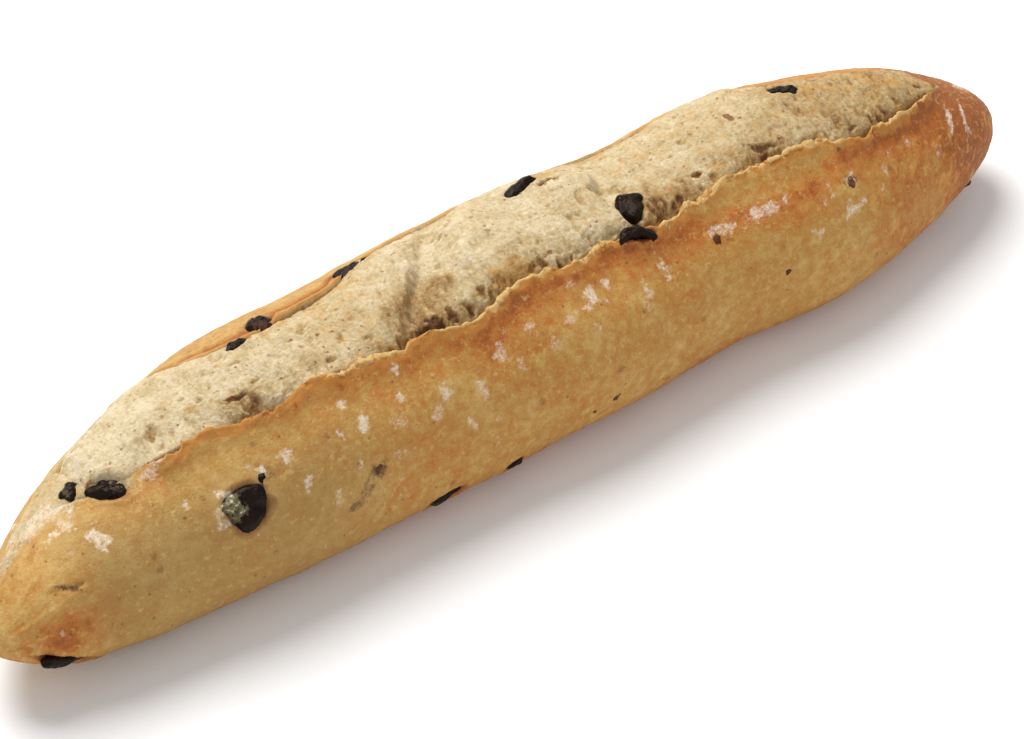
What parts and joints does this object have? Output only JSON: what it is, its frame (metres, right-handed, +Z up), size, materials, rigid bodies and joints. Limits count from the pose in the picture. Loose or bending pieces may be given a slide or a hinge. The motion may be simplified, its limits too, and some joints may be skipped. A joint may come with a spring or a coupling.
{
  "type": "olive baguette",
  "caption": "Long crusty loaf burst open along its top, with a raised lip of crust, rough crumb and black olives baked in.",
  "frame": {"origin": "middle of the flat underside, at the bottom centre of the bounding box", "axes": "+Z up, +X along the loaf, -Y the side with the raised lip of crust"},
  "size_m": [0.31, 0.0707, 0.0498],
  "materials": {
    "crust": "baked crust, dry and lightly floured",
    "olive": "moist black olive flesh"
  },
  "bodies": {
    "root": {"loaf": "crust", "olive_01": "olive", "olive_02": "olive", "olive_03": "olive", "olive_04": "olive", "olive_05": "olive", "olive_06": "olive", "olive_07": "olive", "olive_08": "olive", "olive_09": "olive", "olive_10": "olive", "olive_11": "olive", "olive_12": "olive", "olive_13": "olive", "olive_14": "olive", "olive_15": "olive", "olive_16": "olive", "olive_17": "olive"}
  },
  "joints": []
}
